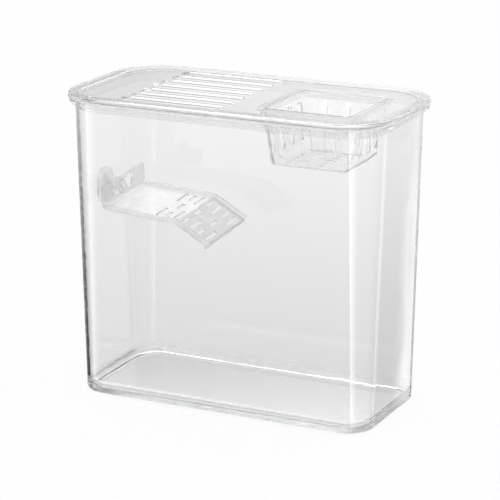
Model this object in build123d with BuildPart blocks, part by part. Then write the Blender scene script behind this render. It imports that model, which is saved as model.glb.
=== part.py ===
# Turtle tank: a tall clear tub with a lift-off lid, a slotted basket that hangs in the lid,
# and a basking platform held to the end wall by a suction cup.
# Millimetres. Origin on the floor under the middle of the tub, X along the long side, Z up.
# The front is -Y and the platform hangs on the left wall, at -X.
from build123d import *
import os
from math import atan, cos, degrees, radians, sin

os.makedirs("parts", exist_ok=True)

# Clearances between separate pieces
seat_gap = 0.3
side_gap = 0.5

# How far a cut runs past the face it opens, and how near an edge lies to the height it is picked by
cut_overrun = 1.0
pick_tolerance = 0.01

# Tub, measured on the outside of its walls
tank_height = 285.0
base_length = 296.0
base_depth = 136.1
base_corner = 25.5
mouth_length = 310.4
mouth_depth = 159.0
mouth_corner = 41.3
wall = 3.0
floor_thickness = 4.0
floor_fillet = 9.0
base_edge = 3.0

# Flange round the mouth of the tub, with a lip turned down at its edge
flange_overhang = 5.4
flange_thickness = 2.2
flange_lip_wall = 1.8
flange_lip_height = 4.6
flange_edge = 0.8

# Lid
lid_overhang = 1.2
lid_rim_height = 4.7
lid_rim_edge = 1.8
lid_rim_top = 2.2
lid_foot_edge = 0.6
lid_lip_wall = 2.2
panel_drop = 1.5
panel_thickness = 2.4
skirt_wall = 2.0
skirt_depth = 10.0

# Air grille in the lid: long slots side by side
grille_slots = 7
grille_bar = 7.4
grille_from_side = 6.0
grille_from_end = 49.2
grille_from_opening = 30.3
grille_slot_corner = 5.0
grille_edge = 0.7

# Opening in the lid for the basket, with a collar under it
opening_from_end = 32.1
opening_length = 89.0
opening_depth = 93.0
opening_corner = 7.0
collar_wall = 1.8
collar_depth = 7.5
ledge_width = 3.6
ledge_thickness = 1.6
rebate_wall = 1.8

# Basket
basket_depth = 52.1
basket_taper = 6.3
basket_wall = 2.0
basket_floor = 2.0
basket_floor_edge = 5.0
basket_rim_thickness = 1.6
basket_slot_width = 10.0
basket_slot_pitch = 23.0
basket_end_slot_pitch = 21.0
basket_slot_top = 8.0
basket_slot_foot = 9.0
basket_long_slots = 3
basket_end_slots = 4
floor_slot_length = 22.0
floor_slot_width = 5.0
floor_slot_pitch = 10.0
floor_slot_rows = 6
floor_slot_columns = 2
floor_slot_column_pitch = 32.0

# Suction cup on the inside of the left wall
cup_height = 188.7
cup_y = -5.8
cup_radius = 17.5
cup_rim = 0.9
cup_crown = 6.0
cup_lip = 1.6
cup_hollow = 2.0
cup_shoulder_radius = 6.5
cup_neck_radius = 3.5
cup_head_radius = 8.0
cup_head_length = 7.5
cup_head_edge = 1.2
cup_pilot_radius = 2.0
cup_pilot_depth = 5.0

# Basking platform: a wall plate, a deck and a ramp bent from one strip
platform_turn = 4.6
platform_stand_off = 12.5
platform_width = 81.6
platform_thickness = 2.0
neck_from_front = 24.7
plate_height = 20.4
plate_below_neck = 15.0
deck_length = 75.8
deck_dip = 5.5
ramp_length = 38.1
ramp_dip = 32.1
ramp_lip = 4.0
bend_radius = 2.6
side_lip_height = 3.0
side_lip_wall = 1.8
entry_radius = 6.6
entry_from_neck = 27.5
entry_drop = 3.0

# Slots in the platform, in rows across it
row_pitch = 9.2
row_slot_width = 3.6
row_short_slots = 3
row_short_slot = 14.5
row_long_slots = 2
row_long_slot = 23.5
row_short_pitch = 25.0
row_long_pitch = 43.5
ramp_row_start = 4.0
ramp_rows = 4
deck_rows = 3
deck_row_end = 6.0

# Sizes that follow from the ones above
rim_length = mouth_length + 2 * (flange_overhang + lid_overhang)
rim_depth = mouth_depth + 2 * (flange_overhang + lid_overhang)
rim_corner = mouth_corner + flange_overhang + lid_overhang
skirt_inset = wall + side_gap
rim_width = flange_overhang + lid_overhang + skirt_inset + skirt_wall
lid_seat = tank_height + seat_gap
lid_top = lid_seat + lid_rim_height
panel_top = lid_top - panel_drop
panel_under = panel_top - panel_thickness
rebate_depth = basket_rim_thickness + seat_gap
ledge_top = panel_top - rebate_depth
basket_rim_seat = ledge_top + seat_gap
basket_top_length = opening_length - 2 * side_gap
basket_top_depth = opening_depth - 2 * side_gap
basket_corner = opening_corner - side_gap
basket_base = basket_rim_seat - basket_depth
skirt_bottom = lid_seat - skirt_depth
panel_length = rim_length - 2 * rim_width
panel_depth = rim_depth - 2 * rim_width
opening_x = (mouth_length - opening_length) / 2 - opening_from_end
grille_start = grille_from_end - panel_length / 2
grille_end = opening_x - opening_length / 2 - grille_from_opening
grille_slot_length = grille_end - grille_start
grille_depth = panel_depth - 2 * grille_from_side
grille_pitch = (grille_depth + grille_bar) / grille_slots
grille_slot_width = grille_pitch - grille_bar
wall_lean = atan((mouth_length - base_length) / 2 / tank_height)


def tub_section(height, inset):
    """Rounded rectangle of the tub at a height, drawn in from its outer face."""
    share = height / tank_height
    length = base_length + (mouth_length - base_length) * share - 2 * inset
    depth = base_depth + (mouth_depth - base_depth) * share - 2 * inset
    corner = base_corner + (mouth_corner - base_corner) * share - inset
    with BuildSketch(Plane.XY.offset(height)) as section:
        RectangleRounded(length, depth, corner)
    return section.sketch


def rim_section(height, inset):
    """Rounded rectangle of the lid's outline at a height, drawn in from its edge."""
    with BuildSketch(Plane.XY.offset(height)) as section:
        RectangleRounded(rim_length - 2 * inset, rim_depth - 2 * inset, rim_corner - inset)
    return section.sketch


def opening_section(height, outset):
    """Rounded rectangle of the basket's opening at a height, drawn out from its edge."""
    with BuildSketch(Plane.XY.offset(height)) as section:
        with Locations((opening_x, 0)):
            RectangleRounded(
                opening_length + 2 * outset, opening_depth + 2 * outset, opening_corner + outset
            )
    return section.sketch


def basket_section(depth_below, inset):
    """Rounded rectangle of the basket at a depth below its rim, drawn in from its outer face."""
    draw_in = inset + basket_taper * depth_below / basket_depth
    with BuildSketch(Plane.XY.offset(basket_rim_seat - depth_below)) as section:
        with Locations((opening_x, 0)):
            RectangleRounded(
                basket_top_length - 2 * draw_in, basket_top_depth - 2 * draw_in, basket_corner - inset / 2
            )
    return section.sketch


# The space inside the tank is lofted first, then cut out of the lofted tub
with BuildPart() as tank_space:
    loft([tub_section(floor_thickness, wall), tub_section(tank_height + cut_overrun, wall)])
    fillet(tank_space.faces().sort_by(Axis.Z)[0].edges(), floor_fillet)

# Flange: a plate round the mouth with its edge turned down
with BuildPart() as tank_flange:
    extrude(rim_section(tank_height - flange_lip_height, lid_overhang), amount=flange_lip_height)
    fillet(tank_flange.edges().filter_by(Plane.XY), flange_edge)
    extrude(
        rim_section(tank_height - flange_lip_height, lid_overhang + flange_lip_wall),
        amount=flange_lip_height - flange_thickness,
        mode=Mode.SUBTRACT,
    )

with BuildPart() as tank:
    loft([tub_section(0, 0), tub_section(tank_height, 0)])
    fillet(tank.faces().sort_by(Axis.Z)[0].edges(), base_edge)
    add(tank_flange.part)
    add(tank_space.part, mode=Mode.SUBTRACT)
tank.part.label = "tank"
export_step(tank.part, "parts/tank.step")

# Lid: a raised rim over the flange, a sunk panel and a skirt that drops into the tub
with BuildPart() as lid:
    extrude(rim_section(lid_seat, 0), amount=lid_rim_height)
    fillet(lid.edges().filter_by(Plane.XY).group_by(Axis.Z)[-1], lid_rim_edge)
    chamfer(lid.edges().filter_by(Plane.XY).group_by(Axis.Z)[0], lid_foot_edge)
    extrude(rim_section(lid_seat, lid_lip_wall), amount=lid_rim_height - lid_rim_top, mode=Mode.SUBTRACT)
    loft([tub_section(skirt_bottom, skirt_inset), tub_section(panel_top, skirt_inset)])
    loft(
        [
            tub_section(skirt_bottom, skirt_inset + skirt_wall),
            tub_section(panel_under, skirt_inset + skirt_wall),
        ],
        mode=Mode.SUBTRACT,
    )
    extrude(rim_section(panel_top, rim_width), amount=panel_drop + cut_overrun, mode=Mode.SUBTRACT)
    # Collar and ledge that carry the basket
    extrude(opening_section(panel_top - collar_depth, collar_wall), amount=collar_depth)
    extrude(
        opening_section(ledge_top - ledge_thickness, ledge_width + rebate_wall),
        amount=rebate_depth + ledge_thickness,
    )
    extrude(opening_section(ledge_top, ledge_width), amount=rebate_depth, mode=Mode.SUBTRACT)
    extrude(opening_section(panel_top - collar_depth, 0), amount=collar_depth, mode=Mode.SUBTRACT)
    # Air grille
    with BuildSketch(Plane.XY.offset(panel_under)) as grille:
        with Locations(((grille_start + grille_end) / 2, 0)):
            with GridLocations(grille_slot_length, grille_pitch, 1, grille_slots):
                RectangleRounded(grille_slot_length, grille_slot_width, grille_slot_corner)
    extrude(amount=panel_thickness, mode=Mode.SUBTRACT)
    grille_rims = (
        lid.edges()
        .filter_by_position(Axis.Z, panel_top - pick_tolerance, panel_top + pick_tolerance)
        .filter_by_position(Axis.X, grille_start - pick_tolerance, grille_end + pick_tolerance)
        .filter_by_position(Axis.Y, -grille_depth / 2 - pick_tolerance, grille_depth / 2 + pick_tolerance)
    )
    chamfer(grille_rims, grille_edge)
lid.part.label = "lid"
export_step(lid.part, "parts/lid.step")

# Basket: tapered and slotted, hung by its rim on the ledge of the lid
with BuildPart() as basket_space:
    loft(
        [
            basket_section(basket_depth - basket_floor, basket_wall),
            basket_section(-basket_rim_thickness - cut_overrun, basket_wall),
        ]
    )
    fillet(basket_space.faces().sort_by(Axis.Z)[0].edges(), basket_floor_edge - basket_wall)

with BuildPart() as basket:
    loft([basket_section(basket_depth, 0), basket_section(0, 0)])
    fillet(basket.faces().sort_by(Axis.Z)[0].edges(), basket_floor_edge)
    extrude(opening_section(basket_rim_seat, ledge_width - side_gap), amount=basket_rim_thickness)
    add(basket_space.part, mode=Mode.SUBTRACT)
    slot_length = basket_depth - basket_slot_top - basket_slot_foot
    slot_middle = basket_rim_seat - basket_slot_top - slot_length / 2
    with BuildSketch(Plane.XZ) as long_side_slots:
        with Locations((opening_x, slot_middle)):
            with GridLocations(basket_slot_pitch, slot_length, basket_long_slots, 1):
                SlotOverall(slot_length, basket_slot_width, rotation=90)
    extrude(amount=opening_depth / 2, both=True, mode=Mode.SUBTRACT)
    with BuildSketch(Plane.YZ.offset(opening_x)) as end_slots:
        with Locations((0, slot_middle)):
            with GridLocations(basket_end_slot_pitch, slot_length, basket_end_slots, 1):
                SlotOverall(slot_length, basket_slot_width, rotation=90)
    extrude(amount=opening_length / 2, both=True, mode=Mode.SUBTRACT)
    with BuildSketch(Plane.XY.offset(basket_base)) as floor_slots:
        with Locations((opening_x, 0)):
            with GridLocations(
                floor_slot_column_pitch, floor_slot_pitch, floor_slot_columns, floor_slot_rows
            ):
                SlotOverall(floor_slot_length, floor_slot_width)
    extrude(amount=basket_floor, mode=Mode.SUBTRACT)
basket.part.label = "basket"
export_step(basket.part, "parts/basket.step")

# The cup's axis stands square to the wall, which leans out by the tub's draft
cup_share = cup_height / tank_height
cup_wall_x = wall - base_length / 2 - (mouth_length - base_length) / 2 * cup_share
cup_origin = Vector(cup_wall_x, cup_y, cup_height)
cup_axis = Vector(cos(wall_lean), 0, sin(wall_lean))
cup_section_plane = Plane(origin=cup_origin, x_dir=cup_axis, z_dir=(0, -1, 0))

# Suction cup: dish, shoulder, neck and head turned about one axis
shoulder_end = platform_stand_off - platform_thickness - seat_gap
head_start = platform_stand_off + seat_gap
head_end = head_start + cup_head_length
with BuildPart() as suction_cup:
    with BuildSketch(cup_section_plane) as cup_section:
        with BuildLine() as cup_outline:
            Polyline((head_end - cup_pilot_depth, 0), (head_end - cup_pilot_depth, cup_pilot_radius))
            Polyline(
                (head_end - cup_pilot_depth, cup_pilot_radius),
                (head_end, cup_pilot_radius),
                (head_end, cup_head_radius - cup_head_edge),
                (head_end - cup_head_edge, cup_head_radius),
                (head_start, cup_head_radius),
                (head_start, cup_neck_radius),
                (shoulder_end, cup_neck_radius),
                (shoulder_end, cup_shoulder_radius),
                (cup_crown, cup_shoulder_radius),
            )
            RadiusArc((cup_crown, cup_shoulder_radius), (seat_gap + cup_rim, cup_radius), cup_radius)
            Line((seat_gap + cup_rim, cup_radius), (seat_gap, cup_radius))
            Line((seat_gap, cup_radius), (seat_gap, cup_radius - cup_lip))
            TangentArc((seat_gap + cup_hollow, 0), (seat_gap, cup_radius - cup_lip), tangent=(0, 1))
            Line((seat_gap + cup_hollow, 0), (head_end - cup_pilot_depth, 0))
        make_face()
    revolve(axis=Axis(cup_origin, cup_axis))
suction_cup.part.label = "suction_cup"
export_step(suction_cup.part, "parts/suction_cup.step")

# Basking platform, drawn in the plane of its wall plate: across to the back, up the wall, out of it
plate_across = Vector(0, 1, 0).rotate(Axis((0, 0, 0), cup_axis), platform_turn)
plate_plane = Plane(origin=cup_origin, x_dir=plate_across, z_dir=cup_axis)
front_end = plate_plane.from_local_coords((-neck_from_front, 0, 0))
strip_plane = Plane(origin=front_end, x_dir=plate_plane.z_dir, z_dir=-plate_plane.x_dir)
deck_run = Vector(cos(radians(deck_dip)), -sin(radians(deck_dip)))
ramp_run = Vector(cos(radians(ramp_dip)), -sin(radians(ramp_dip)))
plate_top = Vector(platform_stand_off, plate_height - plate_below_neck)
deck_start = Vector(platform_stand_off, -plate_below_neck)
fold = deck_start + deck_run * deck_length
ramp_end = fold + ramp_run * ramp_length
lip_end = ramp_end + Vector(ramp_run.Y, -ramp_run.X) * ramp_lip


def tread_plane(start, run):
    """Plane on top of the deck or ramp: X down its slope, Y across it from the front edge."""
    along = strip_plane.x_dir * run.X + strip_plane.y_dir * run.Y
    upward = strip_plane.y_dir * run.X - strip_plane.x_dir * run.Y
    return Plane(origin=strip_plane.from_local_coords(start), x_dir=along, z_dir=upward)


def tread_slots(plane, first_row, rows, short_first):
    """Staggered rows of slots across the deck or ramp: three short, then two long."""
    with BuildSketch(plane) as slots:
        for row in range(rows):
            short = (row % 2 == 0) == short_first
            count = row_short_slots if short else row_long_slots
            pitch = row_short_pitch if short else row_long_pitch
            length = row_short_slot if short else row_long_slot
            with Locations((first_row + row * row_pitch, platform_width / 2)):
                with GridLocations(row_pitch, pitch, 1, count):
                    SlotOverall(length, row_slot_width, rotation=90)
    return slots.sketch


with BuildPart() as platform:
    with BuildSketch(strip_plane) as strip:
        with BuildLine() as strip_line:
            FilletPolyline(plate_top, deck_start, fold, ramp_end, lip_end, radius=bend_radius)
            offset(amount=platform_thickness, side=Side.RIGHT)
        make_face()
    extrude(amount=-platform_width)
    for across in (0, platform_width - side_lip_wall):
        with BuildSketch(strip_plane.offset(-across)) as side_lip:
            with BuildLine() as lip_line:
                FilletPolyline(deck_start, fold, ramp_end, radius=bend_radius)
                offset(amount=side_lip_height, side=Side.LEFT)
            make_face()
        extrude(amount=-side_lip_wall)
    extrude(
        tread_slots(tread_plane(fold, ramp_run), ramp_row_start, ramp_rows, True),
        amount=2 * platform_thickness,
        both=True,
        mode=Mode.SUBTRACT,
    )
    first_deck_row = deck_length - deck_row_end - (deck_rows - 1) * row_pitch
    extrude(
        tread_slots(tread_plane(deck_start, deck_run), first_deck_row, deck_rows, False),
        amount=2 * platform_thickness,
        both=True,
        mode=Mode.SUBTRACT,
    )
    # Keyhole: the soft head goes in at the round end, and the neck slides along to its seat
    with BuildSketch(plate_plane.offset(shoulder_end)) as keyhole:
        Circle(cup_neck_radius + seat_gap)
        with Locations((entry_from_neck, -entry_drop)):
            Circle(entry_radius)
        with Locations((entry_from_neck / 2, -entry_drop / 2)):
            SlotCenterToCenter(
                (entry_from_neck**2 + entry_drop**2) ** 0.5,
                2 * (cup_neck_radius + seat_gap),
                rotation=-degrees(atan(entry_drop / entry_from_neck)),
            )
    extrude(amount=head_start - shoulder_end, mode=Mode.SUBTRACT)
platform.part.label = "basking_platform"
export_step(platform.part, "parts/basking_platform.step")
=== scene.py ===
from math import cos, radians, sin

import bpy
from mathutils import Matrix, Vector

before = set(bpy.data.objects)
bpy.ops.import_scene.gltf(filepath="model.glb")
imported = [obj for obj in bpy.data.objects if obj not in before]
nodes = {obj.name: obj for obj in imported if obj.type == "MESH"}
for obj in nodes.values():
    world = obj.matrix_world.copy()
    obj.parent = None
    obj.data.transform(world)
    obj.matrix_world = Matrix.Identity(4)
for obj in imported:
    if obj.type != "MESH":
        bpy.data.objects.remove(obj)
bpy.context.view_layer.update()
scene = bpy.context.scene

# Camera, fitted to the photograph's edges
VIEW_AZIMUTH = radians(25.96)
VIEW_ELEVATION = radians(16.09)
FOCAL_PIXELS = 2282.2
PHOTO_PIXELS = 500
SENSOR_WIDTH = 36.0
CAMERA_DISTANCE = 2.1402
CAMERA_TARGET = Vector((0.00116, 0.00132, 0.13977))
CLIP_END = 50.0

# Studio that the plastic mirrors. Turn is in degrees round from the front, positive to the right, and aside
# is turn without its sign. Rise is the height reached by a direction of length 1. Two limits are where a
# change starts and ends; four are where a band starts, is full, fades and ends. First, where the front gives
# way to the back, how bright the horizon is, and where the lower half meets the upper.
BEHIND_ASIDE = (136, 149)
HORIZON_LEVEL = 1.05
MEETING_RISE = (-0.1, -0.02)

# Lower half: dark in front but for strip lights, bright behind but for a dark flag and a dimmer rear, and
# pale far below
FRONT_LOW_LEVEL = 0.05
BACK_LOW_LEVEL = 1.0
FLAG_TURN = (152, 155, 158.7, 159.2)
FLAG_LEVEL = 0.2
BESIDE_FLAG_LEVEL = 1.5
REAR_ASIDE = (163, 167)
REAR_SHARE = 0.35
RIGHT_STRIP = ((33, 34, 40, 60), 2.0)
RIGHT_STRIP_EDGE = ((33, 34, 35, 40), 1.6)
LEFT_STRIP = ((-78, -73, -68, -35), 1.6)
HORIZON_LOW_RISE = (-0.36, -0.08)
BELOW_RISE = (-0.75, -0.5)
BELOW_LEVEL = 0.8

# Upper half: dark in front, a wall with a bright patch and a light over it behind, a ring of light overhead
FRONT_HIGH_LEVEL = 0.25
WALL_ASIDE = (150, 158.5)
WALL_SIDE_LEVEL = 0.47
WALL_LEVEL = 0.85
PATCH_TURN = (155.5, 157.5)
PATCH_LEVEL = 1.3
BACK_LIGHT_RISE = (0.31, 0.37)
BACK_LIGHT_LEVEL = 2.5
HORIZON_HIGH_RISE = (0.1, 0.25)
TOP_LIGHT_RISE = (0.75, 0.85)
TOP_LIGHT_LEVEL = 3.5
OVERHEAD_RISE = (0.93, 0.97)
OVERHEAD_LEVEL = 0.3

# Panel of light across the horizon, at the front and to the left
PANEL_TURN = (-60, -45, -29, -12)
PANEL_RISE = (-0.25, -0.15, 0.1, 0.2)
PANEL_LEVEL = 0.6

# Floor: its size and place, its colour, and the share of it that glows so that it shows white
FLOOR_REACH = 8.0
FLOOR_HEIGHT = -0.0003
FLOOR_COLOR = (0.97, 0.97, 0.97, 1)
FLOOR_GLOW = 0.8

# A light path counts as having mirrored or scattered once its depth is past this
ONE_BOUNCE = 0.5

# Plastic: waves in its surface, clouds that make its roughness and haze uneven, and the milk of its haze
WAVE_SCALE = 14.0
WAVE_DETAIL = 1.0
WAVE_HEIGHT = 0.002
WAVE_STRENGTH = 0.02
CLOUD_SCALE = 60.0
CLOUD_DETAIL = 4.0
ROUGHNESS_CLOUD = (0.3, 0.7)
ROUGHNESS_SHARES = (0.6, 1.4)
HAZE_CLOUD = (0.2, 0.8)
HAZE_SHARES = (0.8, 1.2)
MILK = (0.97, 0.97, 0.97, 1)
MILK_THROUGH = 0.5
CLEAR_IOR = 1.49

# Lid, and the seam between lid and tub, rubbed where they touch
SEAM = 0.285
SEAM_REACH = 0.0009
RUB_HAZE = 0.6
SKIRT_HAZE = 0.08
LID_TINT = (0.945, 0.949, 0.947, 1)
LID_ROUGHNESS = 0.015

# Tub: tints at its foot and top, darker towards the foot as painted shade, its underside darkened as painted
# shade with a grey tint and grey haze, and the rounded foot inside it. Facing is how far up the surface
# looks, from -1 to 1.
# Painted shade: the tint darkens the tub towards its foot.
TANK_FOOT_SHADE_TINT = (0.908, 0.911, 0.91, 1)
TANK_TOP_TINT = (0.965, 0.968, 0.967, 1)
TANK_ROUGHNESS = 0.012
TANK_WAVE_STRENGTH = 0.01
UNDERSIDE_FACING = (-0.95, -0.7)
# Painted shade: the underside is darkened by a grey tint and by grey milk mixed in as haze.
UNDERSIDE_SHADE_TINT = (0.77, 0.774, 0.772, 1)
UNDERSIDE_SHADE_MILK = (0.64, 0.65, 0.65, 1)
UNDERSIDE_SHADE_HAZE = 0.4
FOOT_FACING = (0.1, 0.2, 0.96, 0.99)
FOOT_TOP = 0.0135
FOOT_BLEND = 0.001
FOOT_MILK = (0.95, 0.95, 0.95, 1)
FOOT_HAZE = 0.3

# Platform: where along X its plate, deck and ramp meet, how each leans, and how dark and how milky each is,
# the grey of the plate and the ramp being painted shade.
# A surface that faces out of its sheet by less than the first limit is an edge; past the second it isn't.
PLATE_END = -0.1365
FOLD = -0.0618
FOLD_BLEND = 0.0008
ROLL = radians(4.6)
DECK_DIP = radians(5.5)
RAMP_DIP = radians(32.1)
EDGE_FACING = (0.5, 0.8)
# Painted shade: the plate and the ramp, parts of one clear sheet, are tinted grey.
PLATE_SHADE_TINT = (0.86, 0.86, 0.87, 1)
DECK_TINT = (0.98, 0.98, 0.98, 1)
RAMP_SHADE_TINT = (0.68, 0.68, 0.69, 1)
EDGE_TINT = (0.99, 0.99, 0.99, 1)
PLATFORM_ROUGHNESS = 0.05
DECK_HAZE = 0.3
RAMP_HAZE = 0.14
EDGE_HAZE = 0.6

# Basket and suction cup
BASKET_TINT = (1.0, 1.0, 1.0, 1)
CUP_TINT = (0.98, 0.965, 0.97, 1)


def make_camera():
    """Camera at the photograph's angle, aimed at the fitted target."""
    back = Vector(
        (
            sin(VIEW_AZIMUTH) * cos(VIEW_ELEVATION),
            -cos(VIEW_AZIMUTH) * cos(VIEW_ELEVATION),
            sin(VIEW_ELEVATION),
        )
    )
    data = bpy.data.cameras.new("camera")
    data.sensor_width = SENSOR_WIDTH
    data.lens = FOCAL_PIXELS / PHOTO_PIXELS * SENSOR_WIDTH
    data.clip_end = CLIP_END
    camera = bpy.data.objects.new("camera", data)
    scene.collection.objects.link(camera)
    camera.location = CAMERA_TARGET + back * CAMERA_DISTANCE
    camera.rotation_mode = "QUATERNION"
    camera.rotation_quaternion = (-back).to_track_quat("-Z", "Y")
    scene.camera = camera


class Tree:
    """Builds the nodes of one material or of the world."""

    def __init__(self, owner, output_kind):
        owner.use_nodes = True
        self.tree = owner.node_tree
        self.tree.nodes.clear()
        self.output = self.tree.nodes.new(output_kind)

    def add(self, kind, inputs=None, **values):
        """Adds a node, sets its properties, and gives its inputs values or other nodes' outputs."""
        node = self.tree.nodes.new(kind)
        for name, value in values.items():
            setattr(node, name, value)
        for key, value in (inputs or {}).items():
            if isinstance(value, bpy.types.NodeSocket):
                self.tree.links.new(value, node.inputs[key])
            else:
                node.inputs[key].default_value = value
        return node

    def axis(self, vector, name):
        """X, Y or Z of a vector."""
        return self.add("ShaderNodeSeparateXYZ", {0: vector}).outputs[name]

    def math(self, operation, first, second=0.0):
        """Result of a sum on one or two values."""
        return self.add("ShaderNodeMath", {0: first, 1: second}, operation=operation).outputs[0]

    def step(self, value, start, end, low=0.0, high=1.0):
        """Smooth step of a value from low at start to high at end."""
        inputs = {"Value": value, "From Min": start, "From Max": end, "To Min": low, "To Max": high}
        return self.add("ShaderNodeMapRange", inputs, interpolation_type="SMOOTHSTEP").outputs[0]

    def band(self, value, start, full, fade, end):
        """Rises from 0 to 1 from start to full, and falls back to 0 from fade to end."""
        return self.math("MULTIPLY", self.step(value, start, full), self.step(value, fade, end, 1.0, 0.0))

    def blend(self, factor, first, second):
        """Goes from the first value to the second as the factor goes from 0 to 1."""
        inputs = {"Value": factor, "To Min": first, "To Max": second}
        return self.add("ShaderNodeMapRange", inputs).outputs[0]

    def tint(self, factor, first, second):
        """Goes from the first colour to the second as the factor goes from 0 to 1."""
        inputs = {"Factor": factor, "A": first, "B": second}
        return self.add("ShaderNodeMix", inputs, data_type="RGBA").outputs["Result"]

    def mix(self, factor, first, second):
        """Goes from the first shader to the second as the factor goes from 0 to 1."""
        return self.add("ShaderNodeMixShader", {0: factor, 1: first, 2: second}).outputs[0]

    def noise(self, vector, scale, detail):
        """Soft noise between 0 and 1."""
        inputs = {"Vector": vector, "Scale": scale, "Detail": detail}
        return self.add("ShaderNodeTexNoise", inputs).outputs["Fac"]

    def finish(self, shader):
        """Makes a shader the surface."""
        self.tree.links.new(shader, self.output.inputs["Surface"])


def lower_half(tree, turn, aside, rise):
    """Level of the studio below the horizon."""
    beside_flag = tree.step(turn, *FLAG_TURN[2:], BACK_LOW_LEVEL, BESIDE_FLAG_LEVEL)
    back = tree.blend(tree.band(turn, *FLAG_TURN), beside_flag, FLAG_LEVEL)
    rear_share = tree.step(aside, *REAR_ASIDE, 1.0, REAR_SHARE)
    behind = tree.math("MULTIPLY", tree.step(aside, *BEHIND_ASIDE), rear_share)
    level = tree.blend(behind, FRONT_LOW_LEVEL, back)
    for limits, strength in (RIGHT_STRIP, RIGHT_STRIP_EDGE, LEFT_STRIP):
        strip = tree.math("MULTIPLY", tree.band(turn, *limits), strength)
        level = tree.math("ADD", level, strip)
    level = tree.blend(tree.step(rise, *HORIZON_LOW_RISE), level, HORIZON_LEVEL)
    return tree.blend(tree.step(rise, *BELOW_RISE), BELOW_LEVEL, level)


def upper_half(tree, turn, aside, rise):
    """Level of the studio above the horizon."""
    wall = tree.step(aside, *WALL_ASIDE, WALL_SIDE_LEVEL, WALL_LEVEL)
    wall = tree.blend(tree.step(turn, *PATCH_TURN), wall, PATCH_LEVEL)
    back = tree.blend(tree.step(rise, *BACK_LIGHT_RISE), wall, BACK_LIGHT_LEVEL)
    level = tree.blend(tree.step(aside, *BEHIND_ASIDE), FRONT_HIGH_LEVEL, back)
    level = tree.blend(tree.step(rise, *HORIZON_HIGH_RISE), HORIZON_LEVEL, level)
    level = tree.blend(tree.step(rise, *TOP_LIGHT_RISE), level, TOP_LIGHT_LEVEL)
    return tree.blend(tree.step(rise, *OVERHEAD_RISE), level, OVERHEAD_LEVEL)


def make_world():
    """White for the camera and for scattered light, and a studio with dark and bright sides otherwise."""
    world = bpy.data.worlds.new("studio")
    scene.world = world
    tree = Tree(world, "ShaderNodeOutputWorld")
    direction = tree.add("ShaderNodeTexCoord").outputs["Generated"]
    rise = tree.axis(direction, "Z")
    forward = tree.math("MULTIPLY", tree.axis(direction, "Y"), -1.0)
    turn = tree.math("DEGREES", tree.math("ARCTAN2", tree.axis(direction, "X"), forward))
    aside = tree.math("ABSOLUTE", turn)
    below = lower_half(tree, turn, aside, rise)
    above = upper_half(tree, turn, aside, rise)
    level = tree.blend(tree.step(rise, *MEETING_RISE), below, above)
    panel = tree.math("MULTIPLY", tree.band(turn, *PANEL_TURN), tree.band(rise, *PANEL_RISE))
    level = tree.math("ADD", level, tree.math("MULTIPLY", panel, PANEL_LEVEL))
    studio = tree.add("ShaderNodeBackground", {"Color": (1, 1, 1, 1), "Strength": level})
    white = tree.add("ShaderNodeBackground", {"Color": (1, 1, 1, 1), "Strength": 1.0})
    path = tree.add("ShaderNodeLightPath").outputs
    scattered = tree.math("GREATER_THAN", path["Diffuse Depth"], ONE_BOUNCE)
    plain = tree.math("MAXIMUM", path["Is Camera Ray"], scattered)
    tree.finish(tree.mix(plain, studio.outputs[0], white.outputs[0]))
    world.cycles.sampling_method = "NONE"


def floor_material():
    """Matt white that mostly glows to the camera and through plastic, and is open to mirrored rays."""
    material = bpy.data.materials.new("floor")
    tree = Tree(material, "ShaderNodeOutputMaterial")
    matt = tree.add("ShaderNodeBsdfDiffuse", {"Color": FLOOR_COLOR})
    glow = tree.add("ShaderNodeEmission", {"Strength": 1.0})
    open_air = tree.add("ShaderNodeBsdfTransparent")
    path = tree.add("ShaderNodeLightPath").outputs
    seen = tree.math("MAXIMUM", path["Is Camera Ray"], path["Is Transmission Ray"])
    white = tree.mix(tree.math("MULTIPLY", seen, FLOOR_GLOW), matt.outputs[0], glow.outputs[0])
    mirrored = tree.math("GREATER_THAN", path["Glossy Depth"], ONE_BOUNCE)
    tree.finish(tree.mix(mirrored, white, open_air.outputs[0]))
    return material


def make_floor():
    """Plain white floor that keeps a faint shadow."""
    mesh = bpy.data.meshes.new("floor")
    quarters = ((-1, -1), (1, -1), (1, 1), (-1, 1))
    corners = [(x * FLOOR_REACH, y * FLOOR_REACH, FLOOR_HEIGHT) for x, y in quarters]
    mesh.from_pydata(corners, [], [(0, 1, 2, 3)])
    floor = bpy.data.objects.new("floor", mesh)
    scene.collection.objects.link(floor)
    mesh.materials.append(floor_material())


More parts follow.
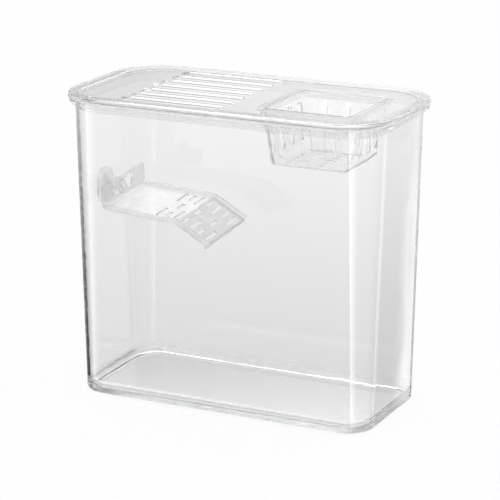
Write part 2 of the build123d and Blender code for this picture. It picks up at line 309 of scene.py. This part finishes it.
class Plastic(Tree):
    """Clear moulded plastic: flow waves, uneven roughness, and a haze that can vary over the piece."""

    def __init__(self, name):
        self.material = bpy.data.materials.new(name)
        super().__init__(self.material, "ShaderNodeOutputMaterial")
        coordinates = self.add("ShaderNodeTexCoord").outputs
        self.place = coordinates["Object"]
        self.normal = coordinates["Normal"]
        self.cloud = self.noise(self.place, CLOUD_SCALE, CLOUD_DETAIL)

    def facing(self, direction):
        """How squarely the surface faces a direction or its opposite, from 0 to 1."""
        dot = self.add("ShaderNodeVectorMath", {0: self.normal, 1: direction}, operation="DOT_PRODUCT")
        return self.math("ABSOLUTE", dot.outputs["Value"])

    def clear(self, color, roughness, ior=CLEAR_IOR, wave_strength=WAVE_STRENGTH):
        """Clear shader whose roughness varies in clouds and whose surface has faint waves."""
        waves = self.noise(self.place, WAVE_SCALE, WAVE_DETAIL)
        shape = {"Strength": wave_strength, "Distance": WAVE_HEIGHT, "Height": waves}
        bump = self.add("ShaderNodeBump", shape)
        smoothest, roughest = (roughness * share for share in ROUGHNESS_SHARES)
        inputs = {
            "Base Color": color,
            "IOR": ior,
            "Transmission Weight": 1.0,
            "Roughness": self.step(self.cloud, *ROUGHNESS_CLOUD, smoothest, roughest),
            "Normal": bump.outputs[0],
        }
        return self.add("ShaderNodeBsdfPrincipled", inputs).outputs[0]

    def milk(self, color=MILK):
        """Milky shader that scatters light back and through."""
        front = self.add("ShaderNodeBsdfDiffuse", {"Color": color})
        through = self.add("ShaderNodeBsdfTranslucent", {"Color": color})
        return self.mix(MILK_THROUGH, front.outputs[0], through.outputs[0])

    def hazed(self, clear, milk, share):
        """Mixes clear with milky by a share that the clouds make uneven, and returns the material."""
        uneven = self.step(self.cloud, *HAZE_CLOUD, *HAZE_SHARES)
        self.finish(self.mix(self.math("MULTIPLY", uneven, share), clear, milk))
        return self.material


def plain_plastic(name, tint, roughness, haze, ior):
    """Clear plastic with a trace of haze all over."""
    plastic = Plastic(name)
    return plastic.hazed(plastic.clear(tint, roughness, ior), plastic.milk(), haze)


def lid_plastic():
    """Clear cover, rubbed where it sits on the tub and faintly hazed below that."""
    plastic = Plastic("lid_clear")
    height = plastic.axis(plastic.place, "Z")
    skirt = plastic.step(height, SEAM - SEAM_REACH, SEAM, SKIRT_HAZE, RUB_HAZE)
    above_seam = plastic.step(height, SEAM + SEAM_REACH / 2, SEAM + SEAM_REACH)
    haze = plastic.blend(above_seam, skirt, 0.0)
    return plastic.hazed(plastic.clear(LID_TINT, LID_ROUGHNESS), plastic.milk(), haze)


def tank_plastic():
    """Clear walls tinted darker towards the foot as painted shade, an underside darkened by painted shade, a
    faintly milky foot inside and a rubbed top edge.
    """
    plastic = Plastic("tank_clear")
    height = plastic.axis(plastic.place, "Z")
    up = plastic.axis(plastic.normal, "Z")
    underside = plastic.step(up, *UNDERSIDE_FACING, 1.0, 0.0)
    low = plastic.step(height, FOOT_TOP, FOOT_TOP + FOOT_BLEND, 1.0, 0.0)
    foot = plastic.math("MULTIPLY", plastic.band(up, *FOOT_FACING), low)
    top = plastic.step(height, SEAM - SEAM_REACH, SEAM - SEAM_REACH / 2)
    haze = plastic.math("MULTIPLY", top, RUB_HAZE)
    for place, share in ((underside, UNDERSIDE_SHADE_HAZE), (foot, FOOT_HAZE)):
        haze = plastic.math("MAXIMUM", haze, plastic.math("MULTIPLY", place, share))
    # Painted shade: the tint darkens towards the foot, and more on the underside.
    tint = plastic.tint(plastic.step(height, 0.0, SEAM), TANK_FOOT_SHADE_TINT, TANK_TOP_TINT)
    tint = plastic.tint(underside, tint, UNDERSIDE_SHADE_TINT)
    clear = plastic.clear(tint, TANK_ROUGHNESS, wave_strength=TANK_WAVE_STRENGTH)
    # Painted shade: grey milk on the underside.
    milk = plastic.mix(underside, plastic.milk(FOOT_MILK), plastic.milk(UNDERSIDE_SHADE_MILK))
    return plastic.hazed(clear, milk, haze)


def sheet_normal(dip):
    """Direction square to the deck or ramp that dips by this angle."""
    return (sin(dip), -sin(ROLL) * cos(dip), cos(ROLL) * cos(dip))


def platform_plastic():
    """Plate and ramp tinted grey as painted shade, milky deck, and white cut edges."""
    plastic = Plastic("platform_clear")
    along = plastic.axis(plastic.place, "X")
    ramp = plastic.step(along, FOLD - FOLD_BLEND, FOLD + FOLD_BLEND)
    past_plate = plastic.step(along, PLATE_END - FOLD_BLEND, PLATE_END + FOLD_BLEND)
    deck = plastic.math("SUBTRACT", past_plate, ramp)
    plate_facing = plastic.facing((1.0, 0.0, 0.0))
    flat = plastic.blend(past_plate, plate_facing, plastic.facing(sheet_normal(DECK_DIP)))
    flat = plastic.blend(ramp, flat, plastic.facing(sheet_normal(RAMP_DIP)))
    edge = plastic.step(flat, *EDGE_FACING, 1.0, 0.0)
    # Painted shade: grey tint on the plate and the ramp.
    tint = plastic.tint(ramp, PLATE_SHADE_TINT, RAMP_SHADE_TINT)
    tint = plastic.tint(deck, tint, DECK_TINT)
    tint = plastic.tint(edge, tint, EDGE_TINT)
    haze = plastic.blend(deck, RAMP_HAZE, DECK_HAZE)
    haze = plastic.blend(edge, haze, EDGE_HAZE)
    return plastic.hazed(plastic.clear(tint, PLATFORM_ROUGHNESS), plastic.milk(), haze)


make_camera()
make_world()
make_floor()
finishes = {
    "tank": tank_plastic(),
    "lid": lid_plastic(),
    "basket": plain_plastic("basket_clear", BASKET_TINT, roughness=0.02, haze=0.16, ior=1.28),
    "basking_platform": platform_plastic(),
    "suction_cup": plain_plastic("cup_clear", CUP_TINT, roughness=0.12, haze=0.4, ior=1.42),
}
for node_name, finish in finishes.items():
    node = nodes[node_name]
    node.data.materials.clear()
    node.data.materials.append(finish)

scene.view_settings.view_transform = "Standard"

# Enough bounces for light to cross many clear walls, and no blur that would lose it on the way
scene.cycles.max_bounces = 64
scene.cycles.transmission_bounces = 48
scene.cycles.glossy_bounces = 48
scene.cycles.transparent_max_bounces = 24
scene.cycles.diffuse_bounces = 8
scene.cycles.blur_glossy = 0.0
